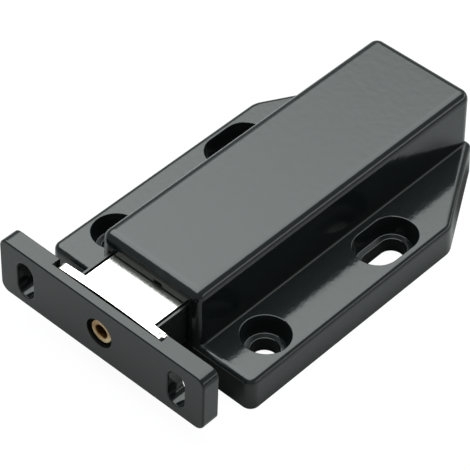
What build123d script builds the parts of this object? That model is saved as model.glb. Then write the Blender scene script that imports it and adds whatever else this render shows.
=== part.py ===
from build123d import *

import os
from math import hypot, radians, tan

os.makedirs("parts", exist_ok=True)

# Magnetic push catch for a cabinet door: a moulded housing with a sprung plunger, which holds
# the door's strike by a magnet. X runs along the strike, Y from the front of the housing to
# its tail and Z up from the surface that it is screwed to. The origin lies under the middle
# of the whole. All sizes are in millimetres and degrees.

# Housing: flange and box, moulded in one
body_length = 80.5
body_width = 53.5  # flange, at its underside
body_height = 20.6
flange_height = 7.4
tail_width = 28.6  # end of the tapered tail, at its underside
tail_length = 21.8
draft = 2.5  # of all the upright sides
nose_corner = 2.0
shoulder_corner = 5.0
tail_corner = 1.5
flange_edge = 1.4
box_width = 26.5  # where the box leaves the flange
box_corner = 2.25
box_edge = 2.2
box_root = 0.2
wall_front = 2.2
wall_back = 2.5
roof = 2.0
skin = 2.2  # over the cores in the flange's underside
core_wall = 2.7
core_margin = 2.0
core_rib = 1.4

# Screw holes in the flange, in the middle of its width beside the box
hole_setback = 11.4
hole_radius = 2.8
hole_margin = 1.6  # from the rim to the box and to the flange's outer side
seat_thickness = 3.3
seat_share = 0.636  # of the way from the hole's edge to the rim
rim_edge = 0.2
seat_edge = 0.2
slot_setback = 46.3
slot_travel = 5.2
slot_radius = 2.7
slot_margin = 1.7

# Plunger: a moulded carrier with a magnet between two steel pole plates
reach = 8.65  # how far the poles stand out of the housing at rest
travel = 8.0
pole_width = 18.4
pole_thickness = 2.0
pole_length = 29.5
pole_edge = 0.12
magnet_thickness = 4.85
magnet_length = 20.3
magnet_setback = 1.5
magnet_edge = 0.3
pole_gap = 0.35
tray_wall = 0.45
tray_floor = 0.8
carrier_level = 6.9  # underside of the tray over the mounting surface
carrier_length = 54.55
carrier_setback = 0.1
side_gap = 0.35
height_gap = 0.3
core_width = 13.0
core_length = 8.5
core_floor = 1.8
rail_width = 2.35

# Rivets through the pole plates
pole_rivet_radius = 1.25
pole_rivet_head = 2.0
pole_rivet_spacing = 10.0
pole_rivet_inset = 4.0  # from the plates' rear edge
rivet_fit = 0.02

# Heart track in the carrier's underside and the wire that runs in it
wire_radius = 0.7
wire_level = 3.4
wire_bend = 1.2
wire_reach = 28.0  # from the pivot to the tip
pivot_setback = 62.0
lane_spacing = 4.4
track_depth = 2.2
track_gap = 0.35
latch_depth = 0.9
wire_gap = 0.3
pin_gap = 0.05
pin_depth = 1.9

# Return springs
spring_radius = 2.2  # of the coil's centre line
spring_wire = 0.4
spring_turns = 15
spring_spacing = 11.6
spring_pocket = 12.0
spring_gap = 0.3
peg_length = 7.0

# Cover of the underside, its screws and the leaf under the wire
cover_width = 29.8
cover_thickness = 1.8
cover_gap = 0.1
cover_corner = 1.5
pivot_boss_height = 0.6
pivot_boss_wall = 1.9
screw_radius = 1.0
screw_length = 7.0
screw_head_radius = 1.9
screw_spacing = 25.2
screw_setback = 20.5
screw_pitch = 45.5
screw_recess = 0.7
screw_clearance = 0.2
leaf_width = 6.8
leaf_thickness = 0.25
leaf_length = 14.0
leaf_tail = 5.0
leaf_setback = 4.0  # from the pivot to the leaf's fixed end
leaf_gap = 0.2
stud_radius = 0.8
stud_offset = 2.0
stud_head = 0.3

# Rubber pads that the plunger comes out against
pad_width = 2.6
pad_thickness = 1.5
pad_height = 4.2
pad_gap = 0.1

# Front opening
notch_width = 2.1
notch_height = 0.8
notch_offset = 2.5
bay_gap = 0.1  # by which the bay is wider than the opening, each side

# Strike on the door: a moulded bar with a steel counter plate in its back
strike_width = 53.2
strike_height = 13.66
strike_thickness = 4.05
strike_corner = 2.1
strike_edge = 0.4  # at the front
strike_back_edge = 0.2
plate_width = 27.2
plate_thickness = 2.0
plate_height = 12.1
plate_bow = 0.35  # its middle stands this far behind its ends
plate_corner = 0.8
plate_edge = 0.15
pocket_play = 1.1  # left of the plate, which lies to the right in its pocket
pocket_gap = 0.1
door_hole_spacing = 39.4
door_hole_drop = 0.3  # below the rivet
door_hole_radius = 2.1
door_hole_travel = 4.4
door_hole_edge = 0.3
recess_radius = 3.25
recess_depth = 1.2
rivet_head_radius = 2.6
rivet_head_height = 0.6
rivet_shank_radius = 1.85
rivet_bore_radius = 1.45
rivet_flare = 0.5

# Levels and places that follow from these sizes
front = (reach + plate_bow + strike_thickness - body_length) / 2
back = front + body_length
slope = (body_width - tail_width) / 2 / tail_length
flange_side = body_width / 2 - flange_height * tan(radians(draft))
hole_x = (box_width / 2 + flange_side) / 2
rim_radius = (flange_side - box_width / 2) / 2 - hole_margin
seat_radius = hole_radius + seat_share * (rim_radius - hole_radius)
slot_rim_radius = (flange_side - box_width / 2) / 2 - slot_margin
slot_seat_radius = slot_radius + seat_share * (slot_rim_radius - slot_radius)
lower_pole_level = carrier_level + tray_floor
magnet_level = lower_pole_level + pole_thickness
upper_pole_level = magnet_level + magnet_thickness
plunger_top = upper_pole_level + pole_thickness
plunger_mid = (carrier_level + plunger_top) / 2
tray_width = pole_width + 2 * pole_gap
carrier_width = tray_width + 2 * tray_wall
opening_width = carrier_width + 2 * side_gap
opening_bottom = carrier_level - height_gap
opening_top = plunger_top + side_gap
bay_width = opening_width + 2 * bay_gap
bay_top = body_height - roof
pole_front = front - reach
pole_back = pole_front + pole_length
carrier_front = pole_front + carrier_setback
carrier_back = carrier_front + carrier_length
shoulder = front + wall_front + pad_thickness + pad_gap
cover_front = front + wall_front + cover_gap
cover_back = back - wall_back - cover_gap
pivot_y = front + pivot_setback
tip_y = pivot_y - wire_reach
leaf_back = pivot_y - leaf_setback
pivot_x = -lane_spacing / 2
wire_top = wire_level + wire_radius
track_floor = wire_top + wire_gap
track_roof = track_floor + track_depth
strike_back = pole_front - plate_bow
strike_front = strike_back - strike_thickness
strike_top = plunger_mid + strike_height / 2
pocket_width = plate_width + pocket_play + pocket_gap
plate_x = (pocket_play - pocket_gap) / 2
hole_places = [(side * hole_x, front + hole_setback) for side in (-1, 1)]
slot_places = [(side * hole_x, front + slot_setback) for side in (-1, 1)]
screw_places = [
    (side * screw_spacing / 2, front + setback)
    for setback in (screw_setback, screw_setback + screw_pitch)
    for side in (-1, 1)
]
peg_places = [(side * spring_spacing / 2, plunger_mid) for side in (-1, 1)]


def flange_outline(level):
    """Outline of the flange at a level: its long sides and tapered tail lean in by the draft."""
    inset = level * tan(radians(draft))
    half = body_width / 2 - inset
    tail = tail_width / 2 - inset * hypot(1, slope)
    shoulder_y = back - (half - tail) / slope
    with BuildSketch(Plane.XY.offset(level)) as outline:
        with BuildLine():
            Polyline(
                (-half, front),
                (half, front),
                (half, shoulder_y),
                (tail, back),
                (-tail, back),
                (-half, shoulder_y),
                close=True,
            )
        make_face()
        fillet(outline.vertices().group_by(Axis.Y)[0], nose_corner)
        fillet(outline.vertices().group_by(Axis.Y)[-1], tail_corner)
        shoulders = outline.vertices().sort_by(lambda corner: abs(corner.Y - shoulder_y))[:2]
        fillet(shoulders, shoulder_corner)
    return outline.sketch


def is_rim(edge):
    """True for an edge round one of the flange's holes or slots."""
    middle = edge.center()
    return any(
        hypot(middle.X - x, middle.Y - y) < slot_rim_radius + slot_travel / 2
        for x, y in hole_places + slot_places
    )


# Housing ----------------------------------------------------------------------------------
with BuildPart() as box:
    # The box leans in on its long sides only, and starts inside the flange.
    for level in (0, body_height):
        with BuildSketch(Plane.XY.offset(level)):
            with Locations((0, (front + back) / 2)):
                width = box_width + 2 * (flange_height - level) * tan(radians(draft))
                RectangleRounded(width, body_length, box_corner)
    loft()
    fillet(box.faces().sort_by(Axis.Z)[-1].edges(), box_edge)

with BuildPart() as housing:
    loft([flange_outline(0), flange_outline(flange_height)])
    fillet(housing.faces().sort_by(Axis.Z)[-1].edges(), flange_edge)
    add(box.part)

    # Hollow bead where the box's long sides rise from the flange
    tangent = box_root / tan(radians(45 + draft / 2))
    with BuildSketch(Plane.XZ.offset(box_corner - back)):
        with Locations((0, flange_height)):
            with GridLocations(box_width, 0, 2, 1):
                Rectangle(2 * tangent, 2 * tangent)
        with Locations((0, flange_height + box_root)):
            with GridLocations(box_width + 2 * tangent, 0, 2, 1):
                Circle(box_root, mode=Mode.SUBTRACT)
    extrude(amount=body_length - 2 * box_corner)

    # Bay for the mechanism, open below
    with BuildSketch():
        with Locations((0, (front + wall_front + back - wall_back) / 2)):
            Rectangle(bay_width, body_length - wall_front - wall_back)
    extrude(amount=bay_top, mode=Mode.SUBTRACT)

    # Front opening, with a notch in its upper edge
    with BuildSketch(Plane.XZ.offset(-front - wall_front)):
        with Locations((0, (opening_bottom + opening_top) / 2)):
            Rectangle(opening_width, opening_top - opening_bottom)
        with Locations((notch_offset, opening_top)):
            Rectangle(notch_width, 2 * notch_height)
    extrude(amount=wall_front, mode=Mode.SUBTRACT)

    # Pegs on the back wall that hold the springs
    with BuildSketch(Plane.XZ.offset(-back + wall_back)):
        with Locations(*peg_places):
            Circle(spring_radius - spring_wire - spring_gap)
    extrude(amount=peg_length)

    # Recess for the cover, and pilot holes for its screws
    with BuildSketch():
        with Locations((0, (cover_front + cover_back) / 2)):
            RectangleRounded(
                cover_width + 2 * cover_gap,
                cover_back - cover_front + 2 * cover_gap,
                cover_corner + cover_gap,
            )
    extrude(amount=cover_thickness, mode=Mode.SUBTRACT)
    with BuildSketch(Plane.XY.offset(cover_thickness)):
        with Locations(*screw_places):
            Circle(screw_radius + rivet_fit)
    extrude(amount=screw_length + screw_clearance - cover_thickness, mode=Mode.SUBTRACT)

    # Counterbored holes in front, counterbored slots behind
    with BuildSketch():
        with Locations(*hole_places):
            Circle(hole_radius)
        with Locations(*slot_places):
            SlotCenterToCenter(slot_travel, 2 * slot_radius, rotation=90)
    extrude(amount=flange_height, mode=Mode.SUBTRACT)
    for place in hole_places:
        for level, radius in ((seat_thickness, seat_radius), (flange_height, rim_radius)):
            with BuildSketch(Plane.XY.offset(level)):
                with Locations(place):
                    Circle(radius)
        loft(mode=Mode.SUBTRACT)
    for place in slot_places:
        for level, radius in ((seat_thickness, slot_seat_radius), (flange_height, slot_rim_radius)):
            with BuildSketch(Plane.XY.offset(level)):
                with Locations(place):
                    SlotCenterToCenter(slot_travel, 2 * radius, rotation=90)
        loft(mode=Mode.SUBTRACT)
    for level, edge in ((flange_height, rim_edge), (seat_thickness, seat_edge)):
        rims = housing.edges().filter_by_position(Axis.Z, level - 0.01, level + 0.01)
        fillet(rims.filter_by(is_rim), edge)

    # Cores in the flange's underside: three cells between hole and slot, three in the tail
    core_inner = cover_width / 2 + cover_gap + core_margin
    core_outer = body_width / 2 - core_wall
    tail_reach = back - core_wall * hypot(1, slope) / slope
    hole_end = front + hole_setback + rim_radius + core_margin
    slot_start = front + slot_setback - slot_travel / 2 - slot_rim_radius - core_margin
    slot_end = front + slot_setback + slot_travel / 2 + slot_rim_radius + core_margin
    core_end = tail_reach - (core_inner - tail_width / 2) / slope
    with BuildSketch():
        with BuildLine():
            Polyline(
                (core_inner, slot_end),
                (core_outer, slot_end),
                (core_outer, tail_reach - (core_outer - tail_width / 2) / slope),
                (core_inner, core_end),
                close=True,
            )
        make_face()
        with Locations(((core_inner + core_outer) / 2, (hole_end + slot_start) / 2)):
            Rectangle(core_outer - core_inner, slot_start - hole_end)
        for start, end in ((hole_end, slot_start), (slot_end, core_end)):
            middle = ((core_inner + core_outer) / 2, (start + end) / 2)
            with Locations(middle):
                with GridLocations(0, (end - start) / 3, 1, 2):
                    Rectangle(core_outer - core_inner, core_rib, mode=Mode.SUBTRACT)
        mirror(about=Plane.YZ)
    extrude(amount=flange_height - skin, mode=Mode.SUBTRACT)

housing.part.label = "housing"
export_step(housing.part, "parts/housing.step")

# Bottom cover: a moulded plate in the underside, with the follower's pivot and a stud ------
with BuildPart() as bottom_cover:
    with BuildSketch():
        with Locations((0, (cover_front + cover_back) / 2)):
            RectangleRounded(cover_width, cover_back - cover_front, cover_corner)
    extrude(amount=cover_thickness)
    with BuildSketch(Plane.XY.offset(cover_thickness)):
        with Locations((pivot_x, pivot_y)):
            Circle(wire_radius + pin_gap + pivot_boss_wall)
    extrude(amount=pivot_boss_height)
    with BuildSketch(Plane.XY.offset(cover_thickness)):
        with Locations((stud_offset, leaf_back - leaf_tail / 2)):
            Circle(stud_radius)
    extrude(amount=leaf_thickness + stud_head)
    with Locations((pivot_x, pivot_y, cover_thickness + pivot_boss_height)):
        Hole(wire_radius + pin_gap, pin_depth)
    with Locations(*[(x, y, 0) for x, y in screw_places]):
        Cylinder(
            screw_radius + screw_clearance,
            cover_thickness,
            align=(Align.CENTER, Align.CENTER, Align.MIN),
            mode=Mode.SUBTRACT,
        )
        Cone(
            screw_head_radius + cover_gap,
            screw_radius + screw_clearance,
            screw_head_radius + cover_gap - screw_radius - screw_clearance,
            align=(Align.CENTER, Align.CENTER, Align.MIN),
            mode=Mode.SUBTRACT,
        )

bottom_cover.part.label = "bottom_cover"
export_step(bottom_cover.part, "parts/bottom_cover.step")

# Cover screws: countersunk, with a cross recess ---------------------------------------------
for number, (x, y) in enumerate(screw_places, 1):
    with BuildPart() as cover_screw:
        with Locations((x, y, 0)):
            Cone(
                screw_head_radius,
                screw_radius,
                screw_head_radius - screw_radius,
                align=(Align.CENTER, Align.CENTER, Align.MIN),
            )
            Cylinder(screw_radius, screw_length, align=(Align.CENTER, Align.CENTER, Align.MIN))
        chamfer(cover_screw.edges().sort_by(Axis.Z)[-1], screw_radius / 2)
        with BuildSketch():
            with Locations((x, y)):
                Rectangle(1.3 * screw_head_radius, 0.25 * screw_head_radius)
                Rectangle(0.25 * screw_head_radius, 1.3 * screw_head_radius)
        extrude(amount=screw_recess, mode=Mode.SUBTRACT)
    cover_screw.part.label = f"cover_screw_{number}"
    export_step(cover_screw.part, f"parts/cover_screw_{number}.step")

# Plunger carrier: tray for the magnet in front, spring pockets behind, heart track below -----
with BuildPart() as plunger_carrier:
    middle = (carrier_front + carrier_back) / 2
    with BuildSketch(Plane.XY.offset(carrier_level)):
        with Locations((0, middle)):
            Rectangle(carrier_width, carrier_length)
    extrude(amount=plunger_top - carrier_level)

    # Behind the housing's front wall it is taller: rails above, track block and skirts below
    with BuildSketch(Plane.XY.offset(track_floor)):
        with Locations((0, (shoulder + carrier_back) / 2)):
            Rectangle(carrier_width, carrier_back - shoulder)
    extrude(amount=carrier_level - track_floor)
    for level, top in (
        (cover_thickness + height_gap, track_floor),
        (plunger_top, bay_top - height_gap),
    ):
        with BuildSketch(Plane.XY.offset(level)):
            with Locations((0, (shoulder + carrier_back) / 2)):
                with GridLocations(carrier_width - rail_width, 0, 2, 1):
                    Rectangle(rail_width, carrier_back - shoulder)
        extrude(amount=top - level)

    # Tray, open in front and above as far back as the magnet
    magnet_back = pole_front + magnet_setback + magnet_length + pole_gap
    with BuildSketch(Plane.XY.offset(lower_pole_level)):
        with Locations((0, (carrier_front + magnet_back) / 2)):
            Rectangle(tray_width, magnet_back - carrier_front)
    extrude(amount=plunger_top - lower_pole_level, mode=Mode.SUBTRACT)

    # Seats for the rear ends of the pole plates, and the rivets' holes
    for level in (lower_pole_level, upper_pole_level):
        with BuildSketch(Plane.XY.offset(level)):
            with Locations((0, (magnet_back + pole_back + pole_gap) / 2)):
                Rectangle(tray_width, pole_back + pole_gap - magnet_back)
        extrude(amount=pole_thickness, mode=Mode.SUBTRACT)
    with BuildSketch(Plane.XY.offset(lower_pole_level)):
        with Locations((0, pole_back - pole_rivet_inset)):
            with GridLocations(pole_rivet_spacing, 0, 2, 1):
                Circle(pole_rivet_radius + rivet_fit)
    extrude(amount=plunger_top - lower_pole_level, mode=Mode.SUBTRACT)

    # Core from above, to keep the walls even
    pocket_front = carrier_back - spring_pocket
    with BuildSketch(Plane.XY.offset(lower_pole_level + core_floor)):
        with Locations((0, (pole_back + pocket_front) / 2)):
            Rectangle(core_width, core_length)
    extrude(amount=body_height, mode=Mode.SUBTRACT)

    # Spring pockets in the rear
    with BuildSketch(Plane.XZ.offset(-carrier_back)):
        with Locations(*peg_places):
            Circle(spring_radius + spring_wire + spring_gap)
    extrude(amount=spring_pocket, mode=Mode.SUBTRACT)

    # Heart track: two lanes round an island, whose front notch is where the wire latches
    lane = wire_radius + track_gap
    tip_front = tip_y - travel
    with BuildSketch(Plane.XY.offset(track_floor)):
        with Locations((0, (tip_front + tip_y) / 2)):
            Rectangle(lane_spacing + 2 * lane, travel + 4 * lane)
        island = lane_spacing / 2 - lane
        with BuildLine():
            Polyline(
                (-island, tip_front + lane),
                (0, tip_front + lane + latch_depth),
                (island, tip_front + lane),
                (island, tip_y - 2 * lane),
                (0, tip_y - lane),
                (-island, tip_y - 2 * lane),
                close=True,
            )
        make_face(mode=Mode.SUBTRACT)
    extrude(amount=track_depth, mode=Mode.SUBTRACT)

plunger_carrier.part.label = "plunger_carrier"
export_step(plunger_carrier.part, "parts/plunger_carrier.step")

# Pole plates: soft steel, blanked and plated, each countersunk on its outer side -------------
for label, outside in (
    ("upper_pole_plate", Plane.XY.offset(plunger_top)),
    ("lower_pole_plate", Plane.XY.offset(lower_pole_level).rotated((0, 180, 0))),
):
    with BuildPart() as pole_plate:
        with BuildSketch(outside):
            with Locations((0, (pole_front + pole_back) / 2)):
                Rectangle(pole_width, pole_length)
        extrude(amount=-pole_thickness)
        fillet(pole_plate.edges(), pole_edge)
        with Locations(outside):
            with Locations((0, pole_back - pole_rivet_inset)):
                with GridLocations(pole_rivet_spacing, 0, 2, 1):
                    CounterSinkHole(
                        pole_rivet_radius + rivet_fit,
                        pole_rivet_head + rivet_fit,
                        pole_thickness,
                        90,
                    )
    pole_plate.part.label = label
    export_step(pole_plate.part, f"parts/{label}.step")

# Magnet: a ferrite block between the plates --------------------------------------------------
with BuildPart() as magnet:
    with BuildSketch(Plane.XY.offset(magnet_level)):
        with Locations((0, pole_front + magnet_setback + magnet_length / 2)):
            Rectangle(pole_width, magnet_length)
    extrude(amount=magnet_thickness)
    chamfer(magnet.edges().filter_by(Axis.Z), magnet_edge)

magnet.part.label = "magnet"
export_step(magnet.part, "parts/magnet.step")

# Rivets that clamp the plates to the carrier, with flush heads -------------------------------
for name, side in (("left", -1), ("right", 1)):
    with BuildPart() as pole_rivet:
        head = pole_rivet_head - pole_rivet_radius
        x, y = side * pole_rivet_spacing / 2, pole_back - pole_rivet_inset
        with Locations((x, y, lower_pole_level)):
            Cylinder(
                pole_rivet_radius,
                plunger_top - lower_pole_level,
                align=(Align.CENTER, Align.CENTER, Align.MIN),
            )
            Cone(
                pole_rivet_head,
                pole_rivet_radius,
                head,
                align=(Align.CENTER, Align.CENTER, Align.MIN),
            )
        with Locations((x, y, plunger_top)):
            Cone(
                pole_rivet_radius,
                pole_rivet_head,
                head,
                align=(Align.CENTER, Align.CENTER, Align.MAX),
            )
    pole_rivet.part.label = f"pole_rivet_{name}"
    export_step(pole_rivet.part, f"parts/pole_rivet_{name}.step")

# Return springs: each from its pocket in the carrier to the back wall, over a peg ------------
for name, (x, z) in zip(("left", "right"), peg_places):
    with BuildPart() as return_spring:
        spring_front = carrier_back - spring_pocket + spring_wire + pin_gap
        spring_length = back - wall_back - spring_wire - pin_gap - spring_front
        with BuildLine() as coil:
            Helix(
                spring_length / spring_turns,
                spring_length,
                spring_radius,
                center=(x, spring_front, z),
                direction=(0, 1, 0),
            )
        with BuildSketch(Plane(coil.line @ 0, z_dir=coil.line % 0)):
            Circle(spring_wire)
        sweep(is_frenet=True)
    return_spring.part.label = f"return_spring_{name}"
    export_step(return_spring.part, f"parts/return_spring_{name}.step")

# Follower: steel wire bent down into its pivot and up into the heart track -------------------
with BuildPart() as cam_follower:
    with BuildLine() as wire:
        FilletPolyline(
            (pivot_x, pivot_y, cover_thickness + pivot_boss_height - pin_depth + wire_gap),
            (pivot_x, pivot_y, wire_level),
            (pivot_x, tip_y, wire_level),
            (pivot_x, tip_y, track_roof - wire_gap),
            radius=wire_bend,
        )
    with BuildSketch(Plane(wire.line @ 0, z_dir=wire.line % 0)):
        Circle(wire_radius)
    sweep()
    ends = cam_follower.faces().filter_by(Axis.Z).edges()
    chamfer(ends, wire_radius / 4)

cam_follower.part.label = "cam_follower"
export_step(cam_follower.part, "parts/cam_follower.step")

# Leaf of spring bronze on the cover, which lifts the wire into the track ---------------------
with BuildPart() as follower_leaf:
    with BuildSketch(Plane.YZ):
        with BuildLine():
            rise = wire_level - wire_radius - leaf_gap - leaf_thickness
            bend = leaf_back - leaf_tail
            tip = leaf_back - leaf_length
            Polyline(
                (leaf_back, cover_thickness),
                (bend, cover_thickness),
                (tip, rise),
                (tip, rise + leaf_thickness),
                (bend, cover_thickness + leaf_thickness),
                (leaf_back, cover_thickness + leaf_thickness),
                close=True,
            )
        make_face()
    extrude(amount=leaf_width / 2, both=True)
    with Locations((stud_offset, leaf_back - leaf_tail / 2, cover_thickness + leaf_thickness)):
        Hole(stud_radius + pin_gap, leaf_thickness)

follower_leaf.part.label = "follower_leaf"
export_step(follower_leaf.part, "parts/follower_leaf.step")

# Rubber pads on the housing's front wall, which stop the carrier's skirts --------------------
for name, side in (("left", -1), ("right", 1)):
    with BuildPart() as damper_pad:
        with BuildSketch(Plane.XZ.offset(-front - wall_front)):
            with Locations(
                (
                    side * (carrier_width - rail_width) / 2,
                    cover_thickness + height_gap + pad_height / 2,
                )
            ):
                Rectangle(pad_width, pad_height)
        extrude(amount=-pad_thickness)
    damper_pad.part.label = f"damper_pad_{name}"
    export_step(damper_pad.part, f"parts/damper_pad_{name}.step")

# Strike holder: a moulded bar, screwed to the door through its upright holes -----------------
with BuildPart() as strike_holder:
    with BuildSketch(Plane.XZ.offset(-strike_back)) as bar:
        with Locations((0, plunger_mid)):
            Rectangle(strike_width, strike_height)
        fillet(bar.vertices(), strike_corner)
    extrude(amount=strike_thickness)
    fillet(strike_holder.faces().sort_by(Axis.Y)[0].edges(), strike_edge)
    fillet(strike_holder.faces().sort_by(Axis.Y)[-1].edges(), strike_back_edge)
    with BuildSketch(Plane.XZ.offset(-strike_back)):
        with Locations((0, plunger_mid - door_hole_drop)):
            with GridLocations(door_hole_spacing, 0, 2, 1):
                SlotCenterToCenter(door_hole_travel, 2 * door_hole_radius, rotation=90)
    extrude(amount=strike_thickness, mode=Mode.SUBTRACT)
    fillet(strike_holder.faces().sort_by(Axis.Y)[0].inner_wires().edges(), door_hole_edge)

    # Pocket for the counter plate, open at the back and above
    with BuildSketch(Plane.XZ.offset(-strike_back)):
        with Locations((0, strike_top)):
            Rectangle(pocket_width, 2 * (plate_height + pocket_gap))
    extrude(amount=plate_thickness + pocket_gap, mode=Mode.SUBTRACT)

    # Recess for the rivet's head, and the rivet's hole
    with BuildSketch(Plane.XZ.offset(-strike_front)):
        with Locations((0, plunger_mid)):
            Circle(recess_radius)
    extrude(amount=-recess_depth, mode=Mode.SUBTRACT)
    with BuildSketch(Plane.XZ.offset(-strike_front)):
        with Locations((0, plunger_mid)):
            Circle(rivet_shank_radius + rivet_fit)
    extrude(amount=-strike_thickness, mode=Mode.SUBTRACT)

strike_holder.part.label = "strike_holder"
export_step(strike_holder.part, "parts/strike_holder.step")

# Counter plate: stamped steel, bowed a little towards the poles that pull on it ---------------
with BuildPart() as counter_plate:
    plate_left = plate_x - plate_width / 2
    plate_right = plate_x + plate_width / 2
    with BuildSketch(Plane.XY.offset(strike_top - plate_height)):
        with BuildLine():
            ThreePointArc((plate_left, strike_back), (plate_x, pole_front), (plate_right, strike_back))
            ThreePointArc(
                (plate_left, strike_back - plate_thickness),
                (plate_x, pole_front - plate_thickness),
                (plate_right, strike_back - plate_thickness),
            )
            Line((plate_left, strike_back), (plate_left, strike_back - plate_thickness))
            Line((plate_right, strike_back), (plate_right, strike_back - plate_thickness))
        make_face()
    extrude(amount=plate_height)
    fillet(counter_plate.edges().filter_by(Axis.Y), plate_corner)
    fillet(counter_plate.faces().filter_by(GeomType.CYLINDER).sort_by(SortBy.AREA)[-2:].edges(), plate_edge)
    with Locations(Plane.XZ.offset(-pole_front).rotated((180, 0, 0))):
        with Locations((0, -plunger_mid)):
            CounterSinkHole(
                rivet_shank_radius + rivet_fit,
                rivet_shank_radius + rivet_flare + rivet_fit,
                2 * plate_thickness,
                90,
            )

counter_plate.part.label = "counter_plate"
export_step(counter_plate.part, "parts/counter_plate.step")

# Strike rivet: hollow brass, its head in the recess and its rear end flared into the plate ----
with BuildPart() as strike_rivet:
    with BuildSketch(Plane.YZ) as section:
        recess_floor = strike_front + recess_depth
        rear = pole_front - rivet_fit
        with BuildLine():
            Polyline(
                (recess_floor - rivet_head_height, plunger_mid + rivet_bore_radius),
                (recess_floor - rivet_head_height, plunger_mid + rivet_head_radius),
                (recess_floor, plunger_mid + rivet_head_radius),
                (recess_floor, plunger_mid + rivet_shank_radius),
                (rear - rivet_flare, plunger_mid + rivet_shank_radius),
                (rear, plunger_mid + rivet_shank_radius + rivet_flare),
                (rear, plunger_mid + rivet_bore_radius),
                close=True,
            )
        make_face()
        fillet(section.vertices().group_by(Axis.X)[0], rivet_head_height / 3)
    revolve(axis=Axis((0, 0, plunger_mid), (0, 1, 0)))

strike_rivet.part.label = "strike_rivet"
export_step(strike_rivet.part, "parts/strike_rivet.step")
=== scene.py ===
from math import cos, pi, radians, sin

import bpy
from mathutils import Matrix, Vector


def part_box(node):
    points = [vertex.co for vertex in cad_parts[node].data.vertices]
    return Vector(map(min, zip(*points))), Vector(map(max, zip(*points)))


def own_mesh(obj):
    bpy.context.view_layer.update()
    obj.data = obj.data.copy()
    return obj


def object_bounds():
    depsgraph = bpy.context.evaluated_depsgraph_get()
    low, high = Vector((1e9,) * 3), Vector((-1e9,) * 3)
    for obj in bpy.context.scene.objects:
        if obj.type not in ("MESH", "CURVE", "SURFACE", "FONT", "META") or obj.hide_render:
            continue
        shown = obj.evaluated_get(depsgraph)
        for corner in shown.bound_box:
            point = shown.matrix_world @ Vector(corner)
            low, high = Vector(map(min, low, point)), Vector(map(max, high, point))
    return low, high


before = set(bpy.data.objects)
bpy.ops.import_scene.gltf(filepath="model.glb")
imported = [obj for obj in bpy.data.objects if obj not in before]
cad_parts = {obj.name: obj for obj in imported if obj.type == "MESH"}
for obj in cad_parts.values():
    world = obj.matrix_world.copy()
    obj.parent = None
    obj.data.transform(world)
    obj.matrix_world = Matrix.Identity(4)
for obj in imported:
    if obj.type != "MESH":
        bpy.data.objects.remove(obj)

cad_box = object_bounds()
scene = bpy.context.scene
scene.view_settings.view_transform = "Standard"
bpy.ops.object.select_all(action="DESELECT")

# Studio ------------------------------------------------------------------------------------
# A small white table with a painted shadow under the catch, under one broad, faintly green
# softbox behind and to the left. Its front and right ends stop short, so walls that face there
# stay black, and a low strip light at the right draws a thin line along the rounded edges.
class Value:
    """A socket in a node tree, on which ordinary arithmetic adds Math nodes."""

    def __init__(self, nodes, socket):
        self.nodes = nodes
        self.socket = socket

    def _math(self, operation, first, second):
        return self.nodes.add("ShaderNodeMath", {"operation": operation}, {0: first, 1: second})

    def __add__(self, other):
        return self._math("ADD", self, other)

    def __radd__(self, other):
        return self._math("ADD", other, self)

    def __sub__(self, other):
        return self._math("SUBTRACT", self, other)

    def __rsub__(self, other):
        return self._math("SUBTRACT", other, self)

    def __mul__(self, other):
        return self._math("MULTIPLY", self, other)

    def __rmul__(self, other):
        return self._math("MULTIPLY", other, self)

    def __truediv__(self, other):
        return self._math("DIVIDE", self, other)

    def __abs__(self):
        return self.nodes.add("ShaderNodeMath", {"operation": "ABSOLUTE"}, {0: self})


class Nodes:
    """A node tree to which nodes are added."""

    def __init__(self, tree):
        self.tree = tree

    def put(self, node, inputs):
        """Gives a node's inputs their values or links."""
        for key, value in inputs.items():
            if isinstance(value, Value):
                self.tree.links.new(value.socket, node.inputs[key])
            else:
                node.inputs[key].default_value = value

    def add(self, kind, settings=None, inputs=None, output=0):
        """Adds a node: first its settings, then its inputs."""
        node = self.tree.nodes.new(kind)
        for name, value in (settings or {}).items():
            setattr(node, name, value)
        self.put(node, inputs or {})
        return Value(self, node.outputs[output])

    def band(self, value, low, high):
        """0 where value is under low, 1 over high, and smooth between them."""
        inputs = {"Value": value, "From Min": low, "From Max": high}
        return self.add("ShaderNodeMapRange", {"interpolation_type": "SMOOTHSTEP"}, inputs)

    def tint(self, mask, first, second):
        """One colour where mask is 0, another where it is 1."""
        shades = [shade if isinstance(shade, Value) else (*shade, 1) for shade in (first, second)]
        inputs = {0: mask, 6: shades[0], 7: shades[1]}
        return self.add("ShaderNodeMix", {"data_type": "RGBA"}, inputs, output=2)


table_radius, table_gap = 0.16, 0.0001
bpy.ops.mesh.primitive_circle_add(
    vertices=96,
    radius=table_radius,
    fill_type="NGON",
    location=(0, 0, cad_box[0][2] - table_gap),
)
table = bpy.context.object
table.name = "table_top"
table_paint = bpy.data.materials.new("table_white")
table_paint.use_nodes = True
paint = Nodes(table_paint.node_tree)
paint.tree.nodes.clear()
spot = paint.add("ShaderNodeTexCoord", output="Object")
aside = abs(paint.add("ShaderNodeSeparateXYZ", {}, {0: spot}, output="X"))
behind = paint.add("ShaderNodeSeparateXYZ", {}, {0: spot}, output="Y")
# The table is painted darker under the catch for light that bounces off it: a painted shadow.
shade_side, shade_front, shade_back = (0.02, 0.027), (-0.048, -0.043), (0.046, 0.054)
painted_shadow = 1 - paint.band(aside, *shade_side)
painted_shadow = painted_shadow * paint.band(behind, *shade_front) * (1 - paint.band(behind, *shade_back))
open_table, shaded_table = (0.31, 0.31, 0.31), (0.05, 0.05, 0.05)
table_colour = paint.tint(painted_shadow, open_table, shaded_table)
lit = paint.add("ShaderNodeBsdfDiffuse", {}, {"Color": table_colour})
faint = paint.add("ShaderNodeBsdfDiffuse", {}, {"Color": (0.03, 0.03, 0.03, 1)})
bright = paint.add("ShaderNodeEmission", {}, {"Strength": 0.95})
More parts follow.
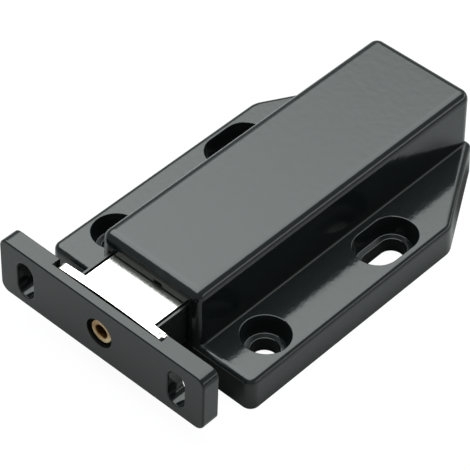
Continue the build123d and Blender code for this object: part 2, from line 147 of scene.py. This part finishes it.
seen = paint.add("ShaderNodeAddShader", {}, {0: faint, 1: bright})
direct = paint.add("ShaderNodeLightPath", output="Is Camera Ray")
top = paint.add("ShaderNodeMixShader", {}, {0: direct, 1: lit, 2: seen})
paint.put(paint.tree.nodes.new("ShaderNodeOutputMaterial"), {"Surface": top})
table.data.materials.append(table_paint)

world = bpy.data.worlds.new("softbox")
world.use_nodes = True
scene.world = world
sky = Nodes(world.node_tree)
sky.tree.nodes.clear()
way = sky.add("ShaderNodeTexCoord", output="Generated")
height = sky.add("ShaderNodeSeparateXYZ", {}, {0: way}, output="Z")
rightwards = sky.add("ShaderNodeSeparateXYZ", {}, {0: way}, output="X") / height
backwards = sky.add("ShaderNodeSeparateXYZ", {}, {0: way}, output="Y") / height
panel_foot, panel_right = (0.42, 0.72), (0.28, 0.52)
panel_front, panel_back = (-0.62, -0.32), (0.3, 1.8)
panel = sky.band(height, *panel_foot) * (1 - sky.band(rightwards, *panel_right))
panel = panel * sky.band(backwards, *panel_front) * (1 - sky.band(backwards, *panel_back))
panel_light, room_light = 7.1, 0.45
light = {"Color": (0.93, 1.0, 0.985, 1), "Strength": panel_light * panel + room_light}
glow = sky.add("ShaderNodeBackground", {}, light)
backdrop = sky.add("ShaderNodeBackground", {}, {"Color": (1, 1, 1, 1)})
direct = sky.add("ShaderNodeLightPath", output="Is Camera Ray")
air = sky.add("ShaderNodeMixShader", {}, {0: direct, 1: glow, 2: backdrop})
sky.put(sky.tree.nodes.new("ShaderNodeOutputWorld"), {"Surface": air})


def direction(azimuth, elevation):
    """The way from the catch to a place round it, angles in radians."""
    flat = cos(elevation)
    return Vector((flat * cos(azimuth), flat * sin(azimuth), sin(elevation)))


strip_way = direction(radians(37), radians(14))
strip_radiance = 2.6
strip_light = bpy.data.lights.new("side_strip", "AREA")
strip_light.shape = "RECTANGLE"
strip_light.size = 1.6
strip_light.size_y = 0.2
strip_light.energy = strip_radiance * pi * strip_light.size * strip_light.size_y
strip = bpy.data.objects.new("side_strip", strip_light)
strip.location = strip_way
strip.rotation_euler = strip_way.to_track_quat("Z", "Y").to_euler()
strip.visible_camera = False
scene.collection.objects.link(strip)

roll = radians(1.972)
back_way = direction(radians(-48.617), radians(44.742))
level = Vector((0, 0, 1)).cross(back_way).normalized()
upright = back_way.cross(level)
across = cos(roll) * level + sin(roll) * upright
above = cos(roll) * upright - sin(roll) * level
camera = bpy.data.objects.new("camera", bpy.data.cameras.new("camera"))
camera.data.lens = 187.12
camera.data.sensor_width = 36.0
camera.data.clip_start = 0.01
turn = Matrix((across, above, back_way)).transposed().to_4x4()
camera_place = (0.222381, -0.261956, 0.344316)
camera.matrix_world = Matrix.Translation(camera_place) @ turn
scene.collection.objects.link(camera)
scene.camera = camera


# Housing -----------------------------------------------------------------------------------
# Flange and box in one piece of black glass-filled nylon, injection moulded from the tail end,
# with a satin gloss. It is screwed down through two round holes in front and two slots behind.
class Finish(Nodes):
    """A surface finish: a material with one Principled shader."""

    def __init__(self, name, metallic=0.0, ior=1.5):
        self.material = bpy.data.materials.new(name)
        self.material.use_nodes = True
        super().__init__(self.material.node_tree)
        self.shader = self.tree.nodes["Principled BSDF"]
        self.put(self.shader, {"Metallic": metallic, "IOR": ior})
        self.place = self.add("ShaderNodeTexCoord", output="Object")

    def noise(self, size, detail=3.0, stretch=(1, 1, 1)):
        """Noise from 0 to 1 with lumps of about size metres, longer where stretch is small."""
        place = self.add("ShaderNodeMapping", {}, {"Vector": self.place, "Scale": stretch})
        inputs = {"Vector": place, "Scale": 1 / size, "Detail": detail}
        return self.add("ShaderNodeTexNoise", {}, inputs)

    def along(self, axis):
        """The place along X, Y or Z in metres."""
        return self.add("ShaderNodeSeparateXYZ", {}, {0: self.place}, output=axis)

    def faces(self, axis):
        """How far the surface faces along X, Y or Z, from -1 to 1."""
        normal = self.add("ShaderNodeTexCoord", output="Normal")
        return self.add("ShaderNodeSeparateXYZ", {}, {0: normal}, output=axis)

    def ridge(self, value, centre, width):
        """1 where value is at centre, 0 from width away."""
        return 1 - self.band(abs(value - centre), 0.3 * width, width)

    def use(self, colour, roughness):
        """Feeds the shader what changes over the surface."""
        self.put(self.shader, {"Base Color": colour, "Roughness": roughness})

    def bump(self, height, depth):
        """Raises the surface by up to depth metres where height is 1."""
        normal = self.add("ShaderNodeBump", {}, {"Height": height, "Distance": depth})
        self.put(self.shader, {"Normal": normal})

    def cover(self, *nodes):
        """Puts the finish on CAD nodes."""
        for name in nodes:
            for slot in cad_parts[name].material_slots:
                slot.material = self.material


moulding = Finish("black_moulding", ior=1.38)
flow = moulding.noise(0.03, detail=2.0, stretch=(1, 0.4, 1))
grain = moulding.noise(0.00035)
ripple = moulding.noise(0.0015, detail=2.0)
rubbed = moulding.band(moulding.noise(0.006, detail=6.0, stretch=(1, 0.2, 1)), 0.6, 0.75)
box_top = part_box("housing")[1]
flange_level, box_side = 0.0074, 0.01325
roof_edge, root_radius = 0.0012, 0.0002
roof_rim = moulding.ridge(moulding.along("Z"), box_top.z - roof_edge, roof_edge)
side_root = moulding.ridge(abs(moulding.along("X")), box_side + root_radius / 2, 2 * root_radius)
level_root = moulding.ridge(moulding.along("Z"), flange_level + root_radius / 2, 2 * root_radius)
root = level_root * side_root
deep_black, pale_black = (0.0036, 0.0045, 0.0045), (0.0046, 0.0057, 0.0058)
black = moulding.tint(flow, deep_black, pale_black)
moulding.use(
    moulding.tint(roof_rim * rubbed, black, (0.009, 0.0105, 0.0105)),
    0.09 + 0.02 * flow + 0.02 * grain + 0.04 * rubbed + 0.3 * root,
)
moulded_relief = 0.00002
moulding.bump(ripple + 0.15 * grain, moulded_relief)
moulding.cover("housing")

# Bottom cover and its screws ---------------------------------------------------------------
# A flat lid of the same nylon, moulded with a duller grain, closes the housing from below.
# Four zinc-plated thread-forming screws hold it.
lid = Finish("cover_moulding", ior=1.45)
lid_grain = lid.noise(0.0003, detail=4.0)
lid_flow = lid.noise(0.02, detail=2.0)
lid.use(
    lid.tint(lid_flow, (0.005, 0.0055, 0.0055), (0.008, 0.0085, 0.0085)),
    0.3 + 0.08 * lid_flow + 0.08 * lid_grain,
)
lid.bump(lid_grain, 0.000006)
lid.cover("bottom_cover")

zinc = Finish("zinc_plating", metallic=1.0)
spangle = zinc.noise(0.0008, detail=5.0)
passivation = zinc.noise(0.003, detail=1.0)
zinc.use(
    zinc.tint(passivation, (0.62, 0.63, 0.66), (0.66, 0.64, 0.58)),
    0.26 + 0.16 * spangle,
)
zinc.bump(spangle, 0.000003)
zinc.cover("cover_screw_1", "cover_screw_2", "cover_screw_3", "cover_screw_4")

# Plunger carrier ---------------------------------------------------------------------------
# A black acetal moulding that slides in the housing: a tray for the magnet and its plates,
# with rails along its sides and cores behind for the springs. Its rubbing faces are polished.
carrier = Finish("black_acetal", ior=1.42)
drag = carrier.noise(0.0012, detail=4.0, stretch=(1, 0.03, 1))
carrier_flow = carrier.noise(0.012, detail=2.0)
carrier.use(
    carrier.tint(carrier_flow, (0.0035, 0.0038, 0.0038), (0.0055, 0.0058, 0.0058)),
    0.2 + 0.12 * drag + 0.04 * carrier_flow,
)
carrier.bump(drag, 0.000003)
carrier.cover("plunger_carrier")

# Magnet ------------------------------------------------------------------------------------
# A sintered ferrite block between the pole plates, ground flat and left bare: dark grey,
# finely porous, with small bright chips.
ferrite = Finish("ferrite")
pores = ferrite.noise(0.00025, detail=5.0)
chips = ferrite.band(ferrite.noise(0.0011, detail=5.0), 0.66, 0.7)
ground = ferrite.tint(pores, (0.022, 0.022, 0.024), (0.04, 0.04, 0.043))
ferrite.use(
    ferrite.tint(chips, ground, (0.09, 0.09, 0.095)),
    0.62 - 0.2 * chips + 0.1 * pores,
)
ferrite.bump(pores - 0.6 * chips, 0.00001)
ferrite.cover("magnet")

# Pole plates and their rivets --------------------------------------------------------------
# Two plates of nickel-plated mild steel carry the magnet's field to the strike. They are
# blanked from strip, so fine rolling lines run along them, and steel rivets clamp the stack.
steel = Finish("nickelled_steel", metallic=1.0)
rolling = steel.noise(0.0005, detail=4.0, stretch=(1, 0.04, 1))
cloud = steel.noise(0.006, detail=3.0)
# The last fraction of a millimetre at each side of the plates is painted near black: painted
# shade in the gap beside them.
pole_side = 0.0092
painted_gap_shade = steel.band(abs(steel.along("X")), pole_side - 0.0003, pole_side - 0.0002)
bright_nickel, dull_nickel = (0.7, 0.68, 0.64), (0.62, 0.6, 0.56)
steel.use(
    steel.tint(painted_gap_shade, steel.tint(cloud, bright_nickel, dull_nickel), (0.01, 0.01, 0.01)),
    0.12 + 0.1 * rolling + 0.04 * cloud + 0.4 * painted_gap_shade,
)
steel.bump(rolling, 0.0000015)
steel.cover("upper_pole_plate", "lower_pole_plate", "pole_rivet_left", "pole_rivet_right")

# Return springs ----------------------------------------------------------------------------
# Two coil springs of bright drawn wire push the plunger out. The die leaves fine lines and
# a thin film of oil on the wire. They shorten against the back wall as the plunger goes in.
spring = Finish("spring_wire", metallic=1.0)
drawn = spring.noise(0.0003, detail=3.0)
oil = spring.noise(0.002, detail=2.0)
spring.use(
    spring.tint(oil, (0.5, 0.5, 0.52), (0.4, 0.39, 0.38)),
    0.22 + 0.14 * drawn,
)
spring.bump(drawn, 0.000002)
spring.cover("return_spring_left", "return_spring_right")
for name in ("return_spring_left", "return_spring_right"):
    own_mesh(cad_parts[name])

# Latch: follower and its leaf --------------------------------------------------------------
# A bent wire pin runs round the heart track in the carrier and latches it. A leaf of
# phosphor bronze, tarnished where it was handled, presses it into the track.
follower = Finish("follower_wire", metallic=1.0)
follower_lines = follower.noise(0.0004, detail=4.0)
follower.use(
    follower.tint(follower_lines, (0.46, 0.46, 0.48), (0.56, 0.56, 0.57)),
    0.2 + 0.14 * follower_lines,
)
follower.bump(follower_lines, 0.000002)
follower.cover("cam_follower")

bronze = Finish("phosphor_bronze", metallic=1.0)
tarnish = bronze.band(bronze.noise(0.003, detail=5.0), 0.4, 0.7)
leaf_lines = bronze.noise(0.0004, detail=3.0, stretch=(1, 0.05, 1))
bronze.use(
    bronze.tint(tarnish, (0.72, 0.45, 0.26), (0.4, 0.22, 0.12)),
    0.22 + 0.15 * tarnish + 0.08 * leaf_lines,
)
bronze.bump(leaf_lines, 0.000002)
bronze.cover("follower_leaf")

# Damper pads -------------------------------------------------------------------------------
# Two soft rubber pads behind the housing's front wall stop the plunger quietly. They are cut
# from sheet, matt, with a bloom of powder.
rubber = Finish("soft_rubber")
bloom = rubber.noise(0.0015, detail=5.0)
rubber_grain = rubber.noise(0.0002, detail=2.0)
rubber.use(
    rubber.tint(bloom, (0.012, 0.012, 0.012), (0.035, 0.035, 0.034)),
    0.7 + 0.15 * bloom,
)
rubber.bump(rubber_grain, 0.00001)
rubber.cover("damper_pad_left", "damper_pad_right")

# Strike holder -----------------------------------------------------------------------------
# The door's half: a bar of the same nylon with upright screw slots at its ends and a frame
# for the counter plate in the middle, moulded with sharper edges at the back.
strike = Finish("strike_moulding", ior=1.35)
strike_flow = strike.noise(0.02, detail=2.0, stretch=(0.4, 1, 1))
strike_grain = strike.noise(0.00035)
strike_ripple = strike.noise(0.0015, detail=2.0)
knit_place, knit_wander, knit_width = 0.013, 0.004, 0.0008
knit = strike.ridge(strike.along("X") + knit_wander * strike_flow, knit_place, knit_width)
strike.use(
    strike.tint(strike_flow, deep_black, pale_black),
    0.09 + 0.03 * strike_flow + 0.02 * strike_grain + 0.03 * knit,
)
strike.bump(strike_ripple + 0.15 * strike_grain, moulded_relief)
strike.cover("strike_holder")

# Counter plate -----------------------------------------------------------------------------
# A slightly bowed plate of nickelled steel, loose on its rivet so that it can lie flat on the
# poles. Tumbling left it satin, and its blanked ends are rougher and darker.
plate = Finish("tumbled_steel", metallic=1.0)
tumbled = plate.noise(0.0007, detail=5.0)
smear = plate.noise(0.004, detail=3.0)
plate_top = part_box("counter_plate")[1]
torn_from, torn_to = plate_top.x - 0.0024, plate_top.x - 0.0014
torn_end = plate.band(plate.along("X"), torn_from, torn_to)
torn = torn_end * plate.band(plate.noise(0.0009, detail=5.0), 0.42, 0.52)
# Faces that look to the front are painted near black: painted shade in the gap in front of the
# plate.
painted_face_shade = plate.band(0 - plate.faces("Y"), 0.1, 0.3)
satin = plate.tint(smear, bright_nickel, dull_nickel)
chipped = plate.tint(torn, satin, (0.012, 0.012, 0.012))
plate.use(
    plate.tint(painted_face_shade, chipped, (0.008, 0.008, 0.008)),
    0.2 + 0.12 * tumbled + 0.2 * torn + 0.3 * painted_face_shade,
)
plate.bump(tumbled - 0.5 * torn, 0.000008)
plate.cover("counter_plate")

# Rivet of the strike -----------------------------------------------------------------------
# A turned brass rivet with a countersunk head holds the counter plate in its frame. Its hollow
# is painted dark brown as painted shade, and tool marks ring the head.
brass = Finish("turned_brass", metallic=1.0)
rivet_foot, rivet_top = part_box("strike_rivet")
axis_x = (rivet_foot.x + rivet_top.x) / 2
axis_z = (rivet_foot.z + rivet_top.z) / 2
centred = {"Vector": brass.place, "Location": (-axis_x, 0, -axis_z), "Scale": (1, 0, 1)}
beside = brass.add("ShaderNodeMapping", {}, centred)
radius = brass.add("ShaderNodeVectorMath", {"operation": "LENGTH"}, {0: beside}, output="Value")
ring_phase = 42000.0  # radians to a metre, so a ring every 0.15 mm
rings = brass.add("ShaderNodeMath", {"operation": "SINE"}, {0: radius * ring_phase}) * 0.5 + 0.5
stain = brass.band(brass.noise(0.0012, detail=5.0), 0.35, 0.65)
# Painted shade: the middle of the rivet, round its hollow, is painted dark brown.
painted_bore_shade = 1 - brass.band(radius, 0.0014, 0.0019)
head = brass.tint(stain, (0.6, 0.46, 0.27), (0.36, 0.23, 0.11))
brass.use(
    brass.tint(painted_bore_shade, head, (0.2, 0.1, 0.035)),
    0.35 + 0.15 * stain,
)
brass.bump(rings, 0.000008)
brass.cover("strike_rivet")
